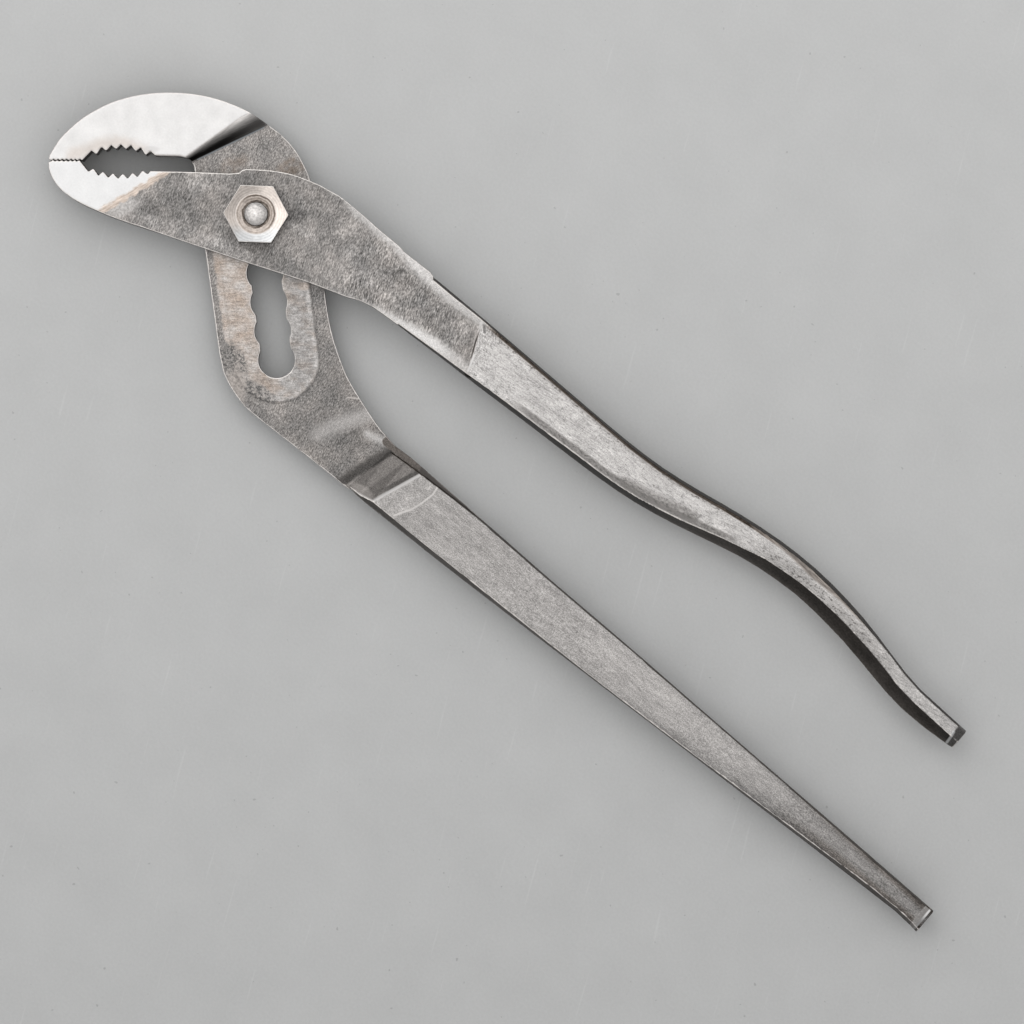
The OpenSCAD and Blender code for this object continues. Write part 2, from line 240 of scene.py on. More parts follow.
class Paint:
    """A material whose colour, roughness and bump are sums over the place on the part."""

    def __init__(self, name):
        self.material = bpy.data.materials.new(name)
        self.material.use_nodes = True
        self.tree = self.material.node_tree
        self.tree.nodes.clear()
        self.shader = self.new("ShaderNodeBsdfPrincipled")
        output = self.new("ShaderNodeOutputMaterial")
        self.tree.links.new(self.shader.outputs["BSDF"], output.inputs["Surface"])
        source = self.new("ShaderNodeTexCoord")
        self.place = self.vector("SCALE", source.outputs["Object"], scale=1 / MM)
        self.x, self.y, self.z = self.split(self.place)
        self.flat = self.point(self.x, self.y, 0.0)
        _, self.ahead, self.up = self.split(source.outputs["Normal"])
        turn = self.new("ShaderNodeVectorTransform")
        turn.vector_type = "NORMAL"
        turn.convert_from, turn.convert_to = "OBJECT", "WORLD"
        self.tree.links.new(source.outputs["Normal"], turn.inputs[0])
        self.normal = turn.outputs[0]

    def new(self, kind):
        return self.tree.nodes.new(kind)

    def put(self, socket, value):
        """Joins a worked out value to the socket, or sets the socket to a constant."""
        if isinstance(value, Value):
            self.tree.links.new(value.socket, socket)
        elif isinstance(value, bpy.types.NodeSocket):
            self.tree.links.new(value, socket)
        else:
            socket.default_value = value

    def math(self, operation, a, b=None):
        node = self.new("ShaderNodeMath")
        node.operation = operation
        self.put(node.inputs[0], a)
        if b is not None:
            self.put(node.inputs[1], b)
        return Value(self, node.outputs[0])

    def vector(self, operation, a, b=None, scale=None):
        node = self.new("ShaderNodeVectorMath")
        node.operation = operation
        self.put(node.inputs[0], a)
        if b is not None:
            self.put(node.inputs[1], b)
        if scale is not None:
            self.put(node.inputs["Scale"], scale)
        return node.outputs["Value" if operation in ("LENGTH", "DOT_PRODUCT") else "Vector"]

    def split(self, vector):
        node = self.new("ShaderNodeSeparateXYZ")
        self.tree.links.new(vector, node.inputs[0])
        return [Value(self, socket) for socket in node.outputs]

    def point(self, x, y, z):
        node = self.new("ShaderNodeCombineXYZ")
        for socket, value in zip(node.inputs, (x, y, z)):
            self.put(socket, value)
        return node.outputs[0]

    def noise(self, size, detail=2.0, rough=0.55, where=None):
        """Soft noise about 0 whose grains are size millimetres wide."""
        node = self.new("ShaderNodeTexNoise")
        self.put(node.inputs["Vector"], where or self.place)
        node.inputs["Scale"].default_value = 1.0 / size
        node.inputs["Detail"].default_value = detail
        node.inputs["Roughness"].default_value = rough
        return Value(self, node.outputs["Fac"]) - 0.5

    def along(self, degrees, stretch):
        """The place with lengths along a direction pressed together, for streaks that way."""
        a = math.radians(degrees)
        c, s = math.cos(a), math.sin(a)
        return self.point((self.x * c + self.y * s) / stretch, self.y * c - self.x * s, self.z)

    def reach(self, points):
        """Distance from a broken line, seen from above."""
        least = None
        for a, b in zip(points, points[1:]):
            length = math.hypot(b[0] - a[0], b[1] - a[1])
            way = ((b[0] - a[0]) / length, (b[1] - a[1]) / length, 0.0)
            off = self.vector("SUBTRACT", self.flat, (a[0], a[1], 0.0))
            run = Value(self, self.vector("DOT_PRODUCT", off, way)).high(0.0).low(length)
            rest = self.vector("SUBTRACT", off, self.vector("SCALE", way, scale=run))
            gap = Value(self, self.vector("LENGTH", rest))
            least = gap if least is None else least.low(gap)
        return least

    def stroke(self, points, half, soft, wobble=0.0):
        """1 on a broken line, falling to 0 beside it."""
        return (self.reach(points) + wobble).ramp(half, half + soft, 1.0, 0.0)

    def beside(self, a, b):
        """Distance to the left of the line from a to b."""
        length = math.hypot(b[0] - a[0], b[1] - a[1])
        dx, dy = (b[0] - a[0]) / length, (b[1] - a[1]) / length
        return (self.y - a[1]) * dx - (self.x - a[0]) * dy

    def spot(self, x, y, rx, ry, turn=0.0, soft=0.6):
        """1 inside an oval, falling to 0 outside it."""
        a = math.radians(turn)
        c, s = math.cos(a), math.sin(a)
        dx, dy = self.x - x, self.y - y
        across = (dx * c + dy * s) / rx
        over = (dy * c - dx * s) / ry
        return (across.square() + over.square()).ramp(1 - soft, 1 + soft, 1.0, 0.0)

    def attribute(self, name):
        """A number that is written on the mesh's vertices."""
        node = self.new("ShaderNodeAttribute")
        node.attribute_name = name
        return Value(self, node.outputs["Fac"])

    def color(self, red, green, blue):
        """A colour from three values."""
        node = self.new("ShaderNodeCombineColor")
        for socket, value in zip(node.inputs, (red, green, blue)):
            self.put(socket, value)
        return node.outputs[0]

    def lifted(self, lift):
        """The surface's normal, turned towards straight up by the amount of lift."""
        return self.vector("NORMALIZE", self.vector("ADD", self.normal, self.point(0, 0, lift)))

    def bump(self, height, depth, under):
        """The normal under it, roughened by a height that reaches depth millimetres."""
        node = self.new("ShaderNodeBump")
        node.inputs["Strength"].default_value = 1.0
        node.inputs["Distance"].default_value = depth * MM
        self.put(node.inputs["Height"], height)
        self.put(node.inputs["Normal"], under)
        return node.outputs["Normal"]

    def finish(self, color, rough, normal=None, metal=1.0):
        """Joins the worked out values to the shader and returns the material."""
        self.put(self.shader.inputs["Base Color"], color)
        self.put(self.shader.inputs["Roughness"], rough)
        self.shader.inputs["Metallic"].default_value = metal
        if normal is not None:
            self.put(self.shader.inputs["Normal"], normal)
        return self.material


class Coat:
    """Tone, warmth, roughness and lift of steel, laid over each other mask by mask.

    The tone is the screen tone of a level face from 0 to 1. The lift lets a narrow rounded
    edge catch the light from above."""

    def __init__(self, paint, tone, warm, rough):
        self.paint = paint
        self.tone = tone
        self.warm = warm
        self.rough = rough
        self.lift = 0.0

    def lay(self, mask, tone=None, warm=None, rough=None, lift=None):
        """Covers what is there with the values that are given, by the share of the mask."""
        for name, value in (("tone", tone), ("warm", warm), ("rough", rough), ("lift", lift)):
            if value is not None:
                old = getattr(self, name)
                setattr(self, name, mask * (value - old) + old)

    def shade(self, mask, amount):
        """Makes the tone brighter by a share, or darker where it is negative."""
        self.tone = self.tone * (mask * amount + 1.0)

    def color(self):
        """Warm steel has more red and less blue than its tone."""
        light = self.tone.high(TONE_LEAST).low(TONE_MOST).power(SCREEN_GAMMA) * (1 / LEVEL_GAIN)
        red = light * (self.warm * WARM_RED + 1.0)
        blue = light * (1.0 - self.warm * WARM_BLUE)
        return self.paint.color(red, light, blue)

    def finish(self, height, depth):
        """The material, roughened by a height that reaches depth millimetres."""
        normal = self.paint.bump(height, depth, self.paint.lifted(self.lift))
        return self.paint.finish(self.color(), self.rough, normal)


def neighbour_sums(mesh):
    """Places, normals and a function that averages a value over neighbours."""
    count = len(mesh.vertices)
    places = np.zeros(count * 3)
    mesh.vertices.foreach_get("co", places)
    places = places.reshape(-1, 3)
    normals = np.zeros(count * 3)
    mesh.vertex_normals.foreach_get("vector", normals)
    normals = normals.reshape(-1, 3)
    ends = np.zeros(len(mesh.edges) * 2, np.int64)
    mesh.edges.foreach_get("vertices", ends)
    ends = ends.reshape(-1, 2)
    degree = np.bincount(ends.ravel(), minlength=count).clip(1)

    def average(value):
        total = (np.bincount(ends[:, 0], value[ends[:, 1]], count)
                 + np.bincount(ends[:, 1], value[ends[:, 0]], count))
        return total / degree
    return places, normals, average


def mark_edges(piece, scale):
    """Writes the edge mask for wear and painted highlight on the vertices: 0 on flat faces, up
    to 1 where an outer edge bends most.
    """
    mesh = piece.data
    places, normals, average = neighbour_sums(mesh)
    pull = sum((average(places[:, i]) - places[:, i]) * normals[:, i] for i in range(3))
    bend = -pull / (scale * MM)
    bend = 0.5 * bend + 0.5 * average(bend)
    layer = mesh.attributes.new("edge_wear_and_highlight", "FLOAT", "POINT")
    layer.data.foreach_set("value", bend.clip(0, 1).astype(np.float32))


def apply_modifiers(piece):
    """Replaces the piece's mesh by what its modifiers make of it."""
    graph = bpy.context.evaluated_depsgraph_get()
    graph.update()
    made = bpy.data.meshes.new_from_object(piece.evaluated_get(graph), depsgraph=graph)
    piece.modifiers.clear()
    old = piece.data
    piece.data = made
    made.name = piece.name
    bpy.data.meshes.remove(old)


def worn_copy(node, body, voxel, faces):
    """A closed copy of a CAD node with softened edges, which replaces it."""
    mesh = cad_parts[node].data.copy()
    piece = bpy.data.objects.new(node + "_worn", mesh)
    bpy.context.scene.collection.objects.link(piece)
    weld = piece.modifiers.new("weld", "WELD")
    weld.merge_threshold = WELD_GAP * MM
    remesh = piece.modifiers.new("remesh", "REMESH")
    remesh.mode = "VOXEL"
    remesh.voxel_size = voxel * MM
    soften = piece.modifiers.new("soften", "SMOOTH")
    soften.factor = SOFTEN_SHARE
    soften.iterations = SOFTEN_ROUNDS
    apply_modifiers(piece)
    mark_edges(piece, voxel * EDGE_SHARE)
    share = faces / max(1, 2 * len(piece.data.polygons))
    if share < 1:
        fewer = piece.modifiers.new("fewer", "DECIMATE")
        fewer.ratio = share
        apply_modifiers(piece)
    for polygon in piece.data.polygons:
        polygon.use_smooth = True
    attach(piece, body)
    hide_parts(node)
    return piece


def dress(piece, material):
    """Gives the piece one material over all its faces."""
    piece.data.materials.clear()
    piece.data.materials.append(material)


def grained(paint, where=None):
    """Fine short grain of a forged face, about 0."""
    return paint.noise(GRAIN, 1.0, 0.5, where) + paint.noise(GRAIN_COARSE, 1.0, 0.5) * 0.2


def streaks(paint, degrees):
    """Fine scratches that run one way, about 0."""
    return paint.noise(SCRATCH, 2.0, 0.6, paint.along(degrees, SCRATCH_STRETCH))


def draw_light_lines(coat, lines):
    """Lays thin lines of painted highlight and painted shadow over the steel."""
    for points, half, soft, share, tone, warm in lines:
        coat.lay(coat.paint.stroke(points, half, soft) * share, tone, warm)


def lay_flank_skin_and_shade(coat, tone, where=1.0):
    """Dark forging skin with painted shade on the faces that look sideways or down; its tone and
    warmth change with which way each face looks.
    """
    paint = coat.paint
    skin_and_shade = paint.ahead.ramp(0.0, 0.5, 1.0, 0.8) * tone
    skin_and_shade = skin_and_shade + paint.noise(0.5, 2.0) * 0.2 + paint.noise(4.0, 4.0) * 0.2
    warm = paint.ahead.ramp(0.0, 0.5, 0.8, 1.8)
    coat.lay(paint.up.ramp(0.9, 0.6) * where, skin_and_shade, warm, FORGED)


def lay_rims(coat, tone, where=1.0):
    """Thin bright lines on the outer edges that look up: partly wear, partly a painted
    highlight.
    """
    paint = coat.paint
    edge_wear_and_highlight = paint.attribute("edge_wear_and_highlight") * paint.up.ramp(0.05, 0.4)
    bright = (edge_wear_and_highlight + paint.noise(1.0, 3.0) * 0.25).ramp(0.14, 0.3)
    coat.lay(bright * where, tone + paint.noise(0.8) * 0.25, 0.4, RUBBED, 1.6)


def lay_jaw_back(coat):
    """Polished upper jaw with a brown tint along its teeth."""
    paint = coat.paint
    jaw = paint.z.ramp(TOP - 0.35, TOP - 0.1) * paint.x.ramp(-9.0, -11.0)
    tint = paint.reach([(-38.6, -15.6), (-35.1, -9.6), (-32.1, -6.6), (-28.0, -5.4)])
    tint = tint + paint.noise(2.0, 3.0) * 1.6
    fine = paint.noise(0.4, 2.0) * 0.07 + paint.noise(3.4, 3.0) * 0.12
    coat.lay(jaw, fine + 0.86, 0.12, POLISHED)
    coat.lay(jaw * tint.ramp(0.0, 2.4, 0.55, 0.0), fine + 0.74, 0.9)
    coat.lay(jaw * paint.spot(-26.5, -3.9, 1.8, 0.7, 40) * 0.4, 0.75, 0.2)


def lay_shoulder(coat):
    """Slope behind the upper jaw: painted shade, black along its foot, and painted light, paler
    towards the jaw.
    """
    paint = coat.paint
    foot = paint.beside(*SHOULDER_FOOT)
    slope = paint.z.band(BACK_PLATE + 0.12, TOP - 0.1, 0.1) * foot.ramp(-0.4, 0.1)
    slope = slope * paint.x.ramp(-8.0, -10.0) * paint.y.ramp(-6.0, -3.5)
    edge = paint.beside(*SHOULDER_EDGE) * -1.0
    streak = paint.noise(0.5, 3.0, 0.6, paint.along(66, 5.0)) * 0.3
    share = foot / (foot + edge.high(0.05)) + streak
    # painted shade along the foot, rising to painted light near the jaw's edge
    dark = paint.y.ramp(6.0, 15.0, 0.24, 0.5) + share.ramp(0.2, 0.0, 0.0, 0.14)
    tone = share.curve([(0.4, 0.0), (0.6, 0.14), (0.85, 0.36), (1.0, 0.6)]) + dark
    coat.lay(slope, tone, 0.3, DULL, share.ramp(0.3, 0.95, 0.5, 2.5))
    coat.lay(paint.stroke([(-17.6, 1.0), (-11.2, 15.4)], 0.1, 0.15), 0.6, -0.4)


def lay_slot_band(coat):
    """Ground band round the slot: tan on the left, greyer on the right, streaked across."""
    paint = coat.paint
    round_slot = paint.reach(SLOT)
    left = paint.beside(*SLOT) * -1.0
    near = paint.beside((23.0, -17.0), (17.0, -23.6)).ramp(0.0, -3.0)
    wide = left.ramp(4.0, 8.0) * near * 1.45
    edge = round_slot - wide + paint.noise(2.4, 3.0) * 1.3 + paint.noise(0.5) * 0.8
    streak = paint.noise(0.34, 2.0, 0.6, paint.along(40, 5)) * 0.34
    tan = paint.noise(2.4, 3.0, 0.55, paint.along(40, 1.6))
    pale = left.ramp(3.0, -4.0)
    low = paint.x.ramp(12.0, 22.0)
    tone = pale.ramp(0.0, 1.0, 0.69, 0.66) + low * -0.02 + streak + tan * 0.35
    on = paint.z.band(BACK_PLATE - 0.1, BACK_BAND + 0.1, 0.15) * edge.ramp(9.5, 8.7)
    warm = pale.ramp(0.0, 1.0, 0.95, 0.5) - low * 0.15
    tone = tone + paint.noise(1.3, 3.0) * pale * 0.3
    coat.lay(on, tone + grained(paint) * 0.4, (warm + tan * -2.4).high(0.3), GROUND)
    coat.shade(on * round_slot.band(8.3, 9.3, 0.5) * pale, 0.07)
    coat.lay(paint.z.band(BACK_PLATE, BACK_BAND, 0.05) * paint.up.ramp(0.97, 0.9), lift=3.0)
    for x, y, r, warmth in ((9.2, 7.6, 1.6, 1.9), (17.6, -5.2, 1.5, 1.3)):
        coat.lay(on * paint.spot(x, y, r, r * 0.6, 40) * 0.6, warm=warmth)


def lay_pits(coat):
    """Dark pits and a pink patch between the slot and the plate's left edge."""
    paint = coat.paint
    low = paint.z.ramp(BACK_BAND + 0.3, BACK_BAND + 0.1)
    edge = [(1.6, -18.3), (5.2, -22.4), (10.6, -26.8), (15.0, -29.4)]
    strip = paint.stroke(edge, 0.7, 1.2, paint.noise(1.2, 3.0) * 1.8)
    strip = strip.high(paint.spot(17.0, -27.4, 4.4, 2.1, -30))
    strip = strip.high(paint.spot(24.4, -29.2, 4.6, 1.6, 10))
    pits = paint.noise(0.5, 3.0, 0.65).ramp(0.02, -0.08)
    coat.lay(strip * low * 0.8, paint.noise(0.4, 2.0) * 0.7 + 0.6, 0.45)
    coat.lay(strip * pits * low * 0.85, 0.36, 0.2)
    pink = paint.spot(20.5, -31.2, 4.6, 2.0, -48, 0.9)
    coat.lay(pink * low * 0.7, paint.noise(0.5) * 0.5 + 0.68, 0.75)


def lay_arc_plate(coat):
    """Brown stains on the plate above the nut."""
    paint = coat.paint
    blot = paint.noise(1.6, 4.0, 0.6)
    coat.shade(paint.x.ramp(8.0, 2.0) * paint.y.ramp(0.0, 4.0), 0.05)
    for x, y, r, share in ((-0.9, 12.9, 3.4, 0.6), (-10.9, 5.2, 3.0, 0.4)):
        stain = paint.spot(x, y, r, r * 0.62, 70, 0.9) * (blot.ramp(-0.2, 0.15) * share)
        coat.lay(stain, 0.42, 1.9)


def lay_back_plate(coat):
    """Light stains and scratches on the dark plate below the slot."""
    paint = coat.paint
    grain = grained(paint) * 0.45
    coat.shade(paint.x.ramp(30.0, 36.0), -0.05)
    bow = paint.stroke([(46.0, -17.6), (43.8, -21.0), (40.5, -27.5)], 0.3, 2.6)
    coat.lay(bow * 0.8, grain + 0.7, 0.3)
    dash = paint.stroke([(48.6, -20.9), (53.6, -19.6)], 0.0, 1.7)
    coat.lay(dash * 0.8, grain + 0.8, 0.2)
    scratch = paint.stroke([(40.3, -17.6), (42.4, -16.1)], 0.05, 0.2)
    coat.lay(scratch * 0.8, 0.8)
    coat.shade(paint.spot(47.5, -24.0, 3.4, 2.2, 70, 0.9), -0.05)


def lay_step(coat):
    """Step up from the plate to the back handle, with painted shade along its foot, painted
    highlights along its ridge and edges, and its grey facet.
    """
    paint = coat.paint
    grain = grained(paint) * 0.4
    soft = paint.noise(1.6, 3.0) * 1.3
    ridge = paint.beside(*STEP_RIDGE)
    foot = paint.beside(*STEP_FOOT)
    between = foot.ramp(0.4, -0.1) * ridge.ramp(-0.2, 0.1)
    coat.lay(between, grain + soft * 0.03 + 0.56, 0.5, FORGED)
    # painted shade along the step's foot
    foot_shade = (foot + soft).ramp(1.9, 0.2) * (foot + soft * 0.6).ramp(-1.4, -0.6)
    coat.lay(foot_shade, grain * 0.8 + 0.34, 0.45)
    dark = (ridge + soft * 0.5).band(0.3, 1.1, 0.6) * paint.y.ramp(-29.5, -26.0)
    coat.lay(dark * foot.ramp(-0.5, -1.5) * 0.85, grain * 0.7 + 0.38, 0.45)
    coat.lay(paint.spot(55.6, -30.9, 2.8, 1.0, 8), grain * 0.6 + 0.7)
    facet = ridge.ramp(0.0, -0.3) * paint.x.ramp(68.4, 67.4)
    coat.lay(facet, grain * 1.3 + paint.noise(1.5, 3.0) * 0.3 + 0.66, 0.3)
    draw_light_lines(coat, STEP_HIGHLIGHT_LINES)


def lay_ledge(coat):
    """Paints the cut beside the handle's root dark as painted shade, like the shaded slope next
    to it, and the level face beyond it dark as painted shade.
    """
    paint = coat.paint
    cut_shade = paint.stroke([(53.0, -19.4), (62.8, -18.9)], 0.9, 0.3) * paint.up.ramp(0.15, 0.35)
    lift = paint.up.ramp(0.95, 0.5, 0.0, 3.0)
    coat.lay(cut_shade, grained(paint) * 0.3 + 0.42, 0.8, FORGED, lift)
    far_shade = paint.stroke([(63.2, -18.9), (77.0, -18.6)], 0.9, 0.3)
    coat.lay(far_shade * paint.up.ramp(0.5, 0.9), 0.36, 0.6, FORGED)


def lay_back_handle(coat):
    """Silver-grey handle with soft stretched clouds, a painted sheen along a line down it and
    painted shade on both sides, strongest near its end.
    """
    paint = coat.paint
    on = paint.x.ramp(66.5, 68.5)
    cloud = paint.noise(2.4, 4.0, 0.6, paint.along(2, 3.5))
    middle = paint.x.curve([(66, -25.3), (100, -25.2), (140, -24.6), (180, -23.9), (206, -23.7)])
    half = paint.x.curve([(66, 5.9), (100, 5.3), (140, 4.3), (180, 2.9), (206, 2.1)])
    across = (paint.y - middle) / half
    # where the painted sheen runs across the handle, and how strongly painted shade darkens the
    # sides away from it
    light = paint.x.curve([(66, 0.0), (120, 0.2), (160, 0.3), (185, 0.2), (206, 0.0)])
    side_shade = paint.x.curve([(66, 0.0), (110, 0.03), (150, 0.09), (185, 0.18), (206, 0.24)])
    top = paint.x.curve([(66, 0.66), (90, 0.67), (120, 0.7), (160, 0.68), (185, 0.565),
                         (206, 0.57)])
    tone = (across - light).square() * side_shade * -1.0 + top
    tone = tone + cloud * 0.26 + grained(paint) * 0.5 + streaks(paint, 1) * 0.3
    pores = paint.noise(0.5, 3.0, 0.65).ramp(-0.1, -0.2)
    coat.lay(on, tone - pores * 0.12, 0.3, GROUND)
    brown = (across - light).abs().ramp(0.3, 0.9) * paint.x.ramp(165.0, 195.0)
    coat.lay(brown * 0.7, warm=1.0)


def lay_back_end(coat):
    """Rounded end of the back handle: painted light on the steep face before its turn and a
    painted highlight along its turn, dark below it.
    """
    paint = coat.paint
    seen = paint.up.ramp(0.05, 0.3)
    # painted light that makes the steep face before the turn as bright as the handle's top
    before = paint.x.band(206.5, 207.6, 0.3) * seen
    coat.lay(before, grained(paint) * 0.3 + 0.62, 0.3, GROUND, 1.5)
    # painted highlight along the turn
    turn = paint.x.band(207.6, 207.9, 0.2) * seen
    coat.lay(turn, paint.y.ramp(-25.0, -22.5, 0.6, 0.95), 0.1, POLISHED, 2.0)


def lay_far_rims(coat, tone, where):
    """Bright edges, partly wear and partly painted highlight: bright everywhere but on the far
    side of the handles, where the painted highlight is mostly left out.
    """
    paint = coat.paint
    near = 1.0 - paint.x.ramp(50.0, 56.0) * paint.ahead.ramp(-0.2, 0.1) * 0.85
    lay_rims(coat, tone, near * where)


def back_steel():
    """Forged steel with a polished jaw, a ground band and a silver-grey handle."""
    paint = Paint("back_steel")
    cloud = paint.noise(6.0, 2.0, 0.5)
    tone = grained(paint, paint.along(100, 2.0)) * 0.65 + streaks(paint, 108) * 0.26
    tone = tone + cloud * 0.3 + 0.56
    coat = Coat(paint, tone, cloud * 0.6 + 0.42, paint.noise(2.0) * 0.2 + 0.46)
    lay_arc_plate(coat)
    lay_back_plate(coat)
    lay_slot_band(coat)
    lay_pits(coat)
    lay_back_handle(coat)
    lay_step(coat)
    lay_jaw_back(coat)
    lay_flank_skin_and_shade(coat, 0.38, 1.0 - paint.z.band(BACK_PLATE - 0.05, BACK_BAND, 0.05))
    lay_ledge(coat)
    lay_back_end(coat)
    # the painted highlight is weaker on the slot's edges that look towards -y
    slot = paint.reach(SLOT).ramp(8.0, 7.0)
    lay_far_rims(coat, 0.86, 1.0 - slot * paint.ahead.ramp(0.1, -0.3) * 0.7)
    lay_shoulder(coat)
    return coat.finish(paint.noise(0.4, 2.0) * paint.z.ramp(TOP - 0.1, TOP - 0.3), 0.02)


def lay_jaw_front(coat):
    """Polished lower jaw with tan streaks where the polish ends."""
    paint = coat.paint
    off = paint.beside(*POLISH_END) + paint.noise(1.6, 3.0) * 2.0
    streak = paint.noise(0.4, 3.0, 0.65, paint.along(68, 8))
    pale = paint.spot(-23.0, -17.2, 3.6, 1.7, 66, 0.9)
    coat.lay(pale * 0.85, paint.noise(0.45) * 0.6 + 0.78, 0.3)
    coat.lay(off.band(-1.0, 0.3, 0.6), streak * 0.8 + 0.74, 1.2, BRUSHED)
    fine = paint.noise(0.4, 2.0) * 0.07 + paint.noise(3.4, 3.0) * 0.08
    coat.lay(off.ramp(-0.4, 0.4), fine + 0.875, 0.05, POLISHED)


def lay_front_plate(coat):
    """Stains of the front plate round the nut."""
    paint = coat.paint
    for x, y, rx, ry, turn, amount in PLATE_STAINS:
        blot = paint.spot(x, y, rx, ry, turn, 0.9)
        coat.shade(blot * paint.noise(1.0, 3.0).ramp(-0.2, 0.1), amount)
    coat.shade(paint.stroke([(-17.0, -16.4), (-4.5, -11.4), (3.5, -8.2)], 0.8, 1.6), 0.1)


def lay_dish(coat):
    """Bright bands beside the hollow of the front plate, painted shade in the hollow before the
    ridge that ends it and beside that ridge, and thin painted highlights and a painted shadow on
    the ridge.
    """
    paint = coat.paint
    wobble = paint.noise(1.4, 4.0, 0.6) * 2.0
    grain = grained(paint)
    # painted shade in the dip of the hollow just before the ridge
    coat.shade(paint.stroke([(43.0, 7.0), (53.0, 6.6)], 0.8, 3.2), -0.1)
    fleck = paint.noise(0.3, 3.0, 0.6, paint.along(112, 3.0))
    coat.lay(paint.x.band(26, 54, 8), coat.tone + fleck * 0.85)
    inner = paint.x.curve([(12, 14.2), (16, 13.3), (22, 13.1), (30, 12.8), (35, 11.8),
                           (46, 11.6), (53, 12.2)])
    upper = (paint.y - inner + wobble).ramp(-0.8, 1.4) * paint.x.ramp(53.4, 52.4)
    pale = paint.x.curve([(14, 0.72), (34, 0.8), (50, 0.72)])
    coat.lay(upper, grain * 0.45 + pale, 0.25, BRUSHED)
    outer = paint.x.curve([(16, -4.2), (22, -1.7), (26, -0.7), (30, 0.7), (33, 2.0),
                           (38, 3.0), (42, 4.2), (46, 4.9), (56, 5.6)])
    fade = paint.x.ramp(47, 54, 1.0, 0.5)
    lower = (outer - paint.y + wobble * 0.8).ramp(-0.8, 1.6) * paint.x.ramp(20.0, 26.0)
    lower = lower * paint.beside(*DISH_RIDGE).ramp(-0.1, 0.1)
    pale = paint.x.ramp(24.0, 34.0, 0.72, 0.84)
    coat.lay(lower * fade, grain * 0.45 + pale, 0.2, BRUSHED)
    coat.lay(paint.stroke([(53.0, 12.4), (57.0, 3.6)], 0.8, 0.6), lift=1.0)
    # painted shade beside the ridge
    shade = paint.stroke([(51.6, 10.8), (53.2, 8.2), (55.2, 4.8)], 0.2, 1.1)
    coat.lay(shade * 0.35, grain * 0.4 + 0.42)
    draw_light_lines(coat, RIDGE_LIGHT_AND_SHADOW_LINES)


def lay_front_handle(coat):
    """Silvery handle with dark mottles along its outer side, partly painted shade of a shallow
    hollow there, and painted shade in a pocket below its middle.
    """
    paint = coat.paint
    on = paint.beside(*HANDLE_START).ramp(0.0, -0.4)
    cloud = paint.noise(2.4, 4.0, 0.6, paint.along(4, 3.0))
    fine = paint.noise(0.5, 3.0, 0.65, paint.along(4, 1.6))
    speck = fine.ramp(-0.05, -0.13)
    bright = paint.x.curve([(56, 0.77), (92, 0.77), (104, 0.78), (120, 0.77), (134, 0.77),
                            (150, 0.765), (170, 0.72), (188, 0.74)])
    tone = bright + cloud * 0.28 + grained(paint) * 0.42 + streaks(paint, 5) * 0.42
    coat.lay(on, tone - fine.ramp(-0.07, -0.17) * 0.14, 0.25, SATIN)
    over = paint.y - paint.x.curve(HANDLE_LOW)
    under = paint.x.curve(HANDLE_HIGH) - paint.y
    # dark mottles along the lower edge, partly painted shade of a shallow hollow
    dark = over.band(0.5, 1.2, 0.6) * paint.x.band(74, 120, 8)
    coat.lay(on * dark * (fine * 2.0 + 0.7).low(1.0).high(0.2), 0.42, 0.4)
    # painted shade in a pocket below the handle's middle
    pocket_shade = paint.stroke([(98.0, 6.7), (105.0, 8.2), (114.0, 10.6)], 0.3, 1.7)
    coat.lay(pocket_shade * 0.65, fine * 0.9 + 0.46, 0.4)
    coat.lay(on * under.ramp(0.75, 0.45) * paint.x.band(58, 128, 6), fine * 0.4 + 0.23, 1.7)
    coat.lay(on * over.ramp(1.6, 0.6) * speck * paint.x.ramp(74, 60) * 0.7, 0.45)
    freckles = under.band(0.5, 0.9, 0.5) * (speck * 0.6 + 0.2) * paint.x.ramp(122, 116)
    coat.lay(on * freckles, 0.4, 0.6)
    speckled = paint.x.band(134, 160, 8) * over.ramp(3.2, 1.2)
    coat.lay(on * speckled * (speck * 0.7 + 0.25), 0.42, 0.4)
    strip = paint.x.curve([(118, 18.6), (126, 17.0), (134, 17.6), (142, 17.0), (150, 17.1),
                           (158, 16.4), (164, 16.4)])
    lines = paint.noise(0.3, 2.0, 0.6, paint.along(-2, 9))
    brown = (paint.y - strip).ramp(-0.3, 0.4) * paint.x.band(122, 160, 4)
    coat.lay(brown * 0.9, lines * 0.7 + 0.5, 0.9)


def lay_front_end(coat):
    """Bright rubbed line, partly a painted highlight, and dark grey facet on the end of the
    front handle.
    """
    paint = coat.paint
    coat.lay(paint.x.ramp(186.8, 187.1), grained(paint) * 0.3 + 0.46, 0.3)
    # a bright rubbed line, partly a painted highlight, on the faces that look up
    line = paint.stroke([(186.9, 11.2), (187.3, 8.6)], 0.15, 0.3)
    coat.lay(line * paint.up.ramp(0.05, 0.3), 0.95, 0.0, RUBBED)


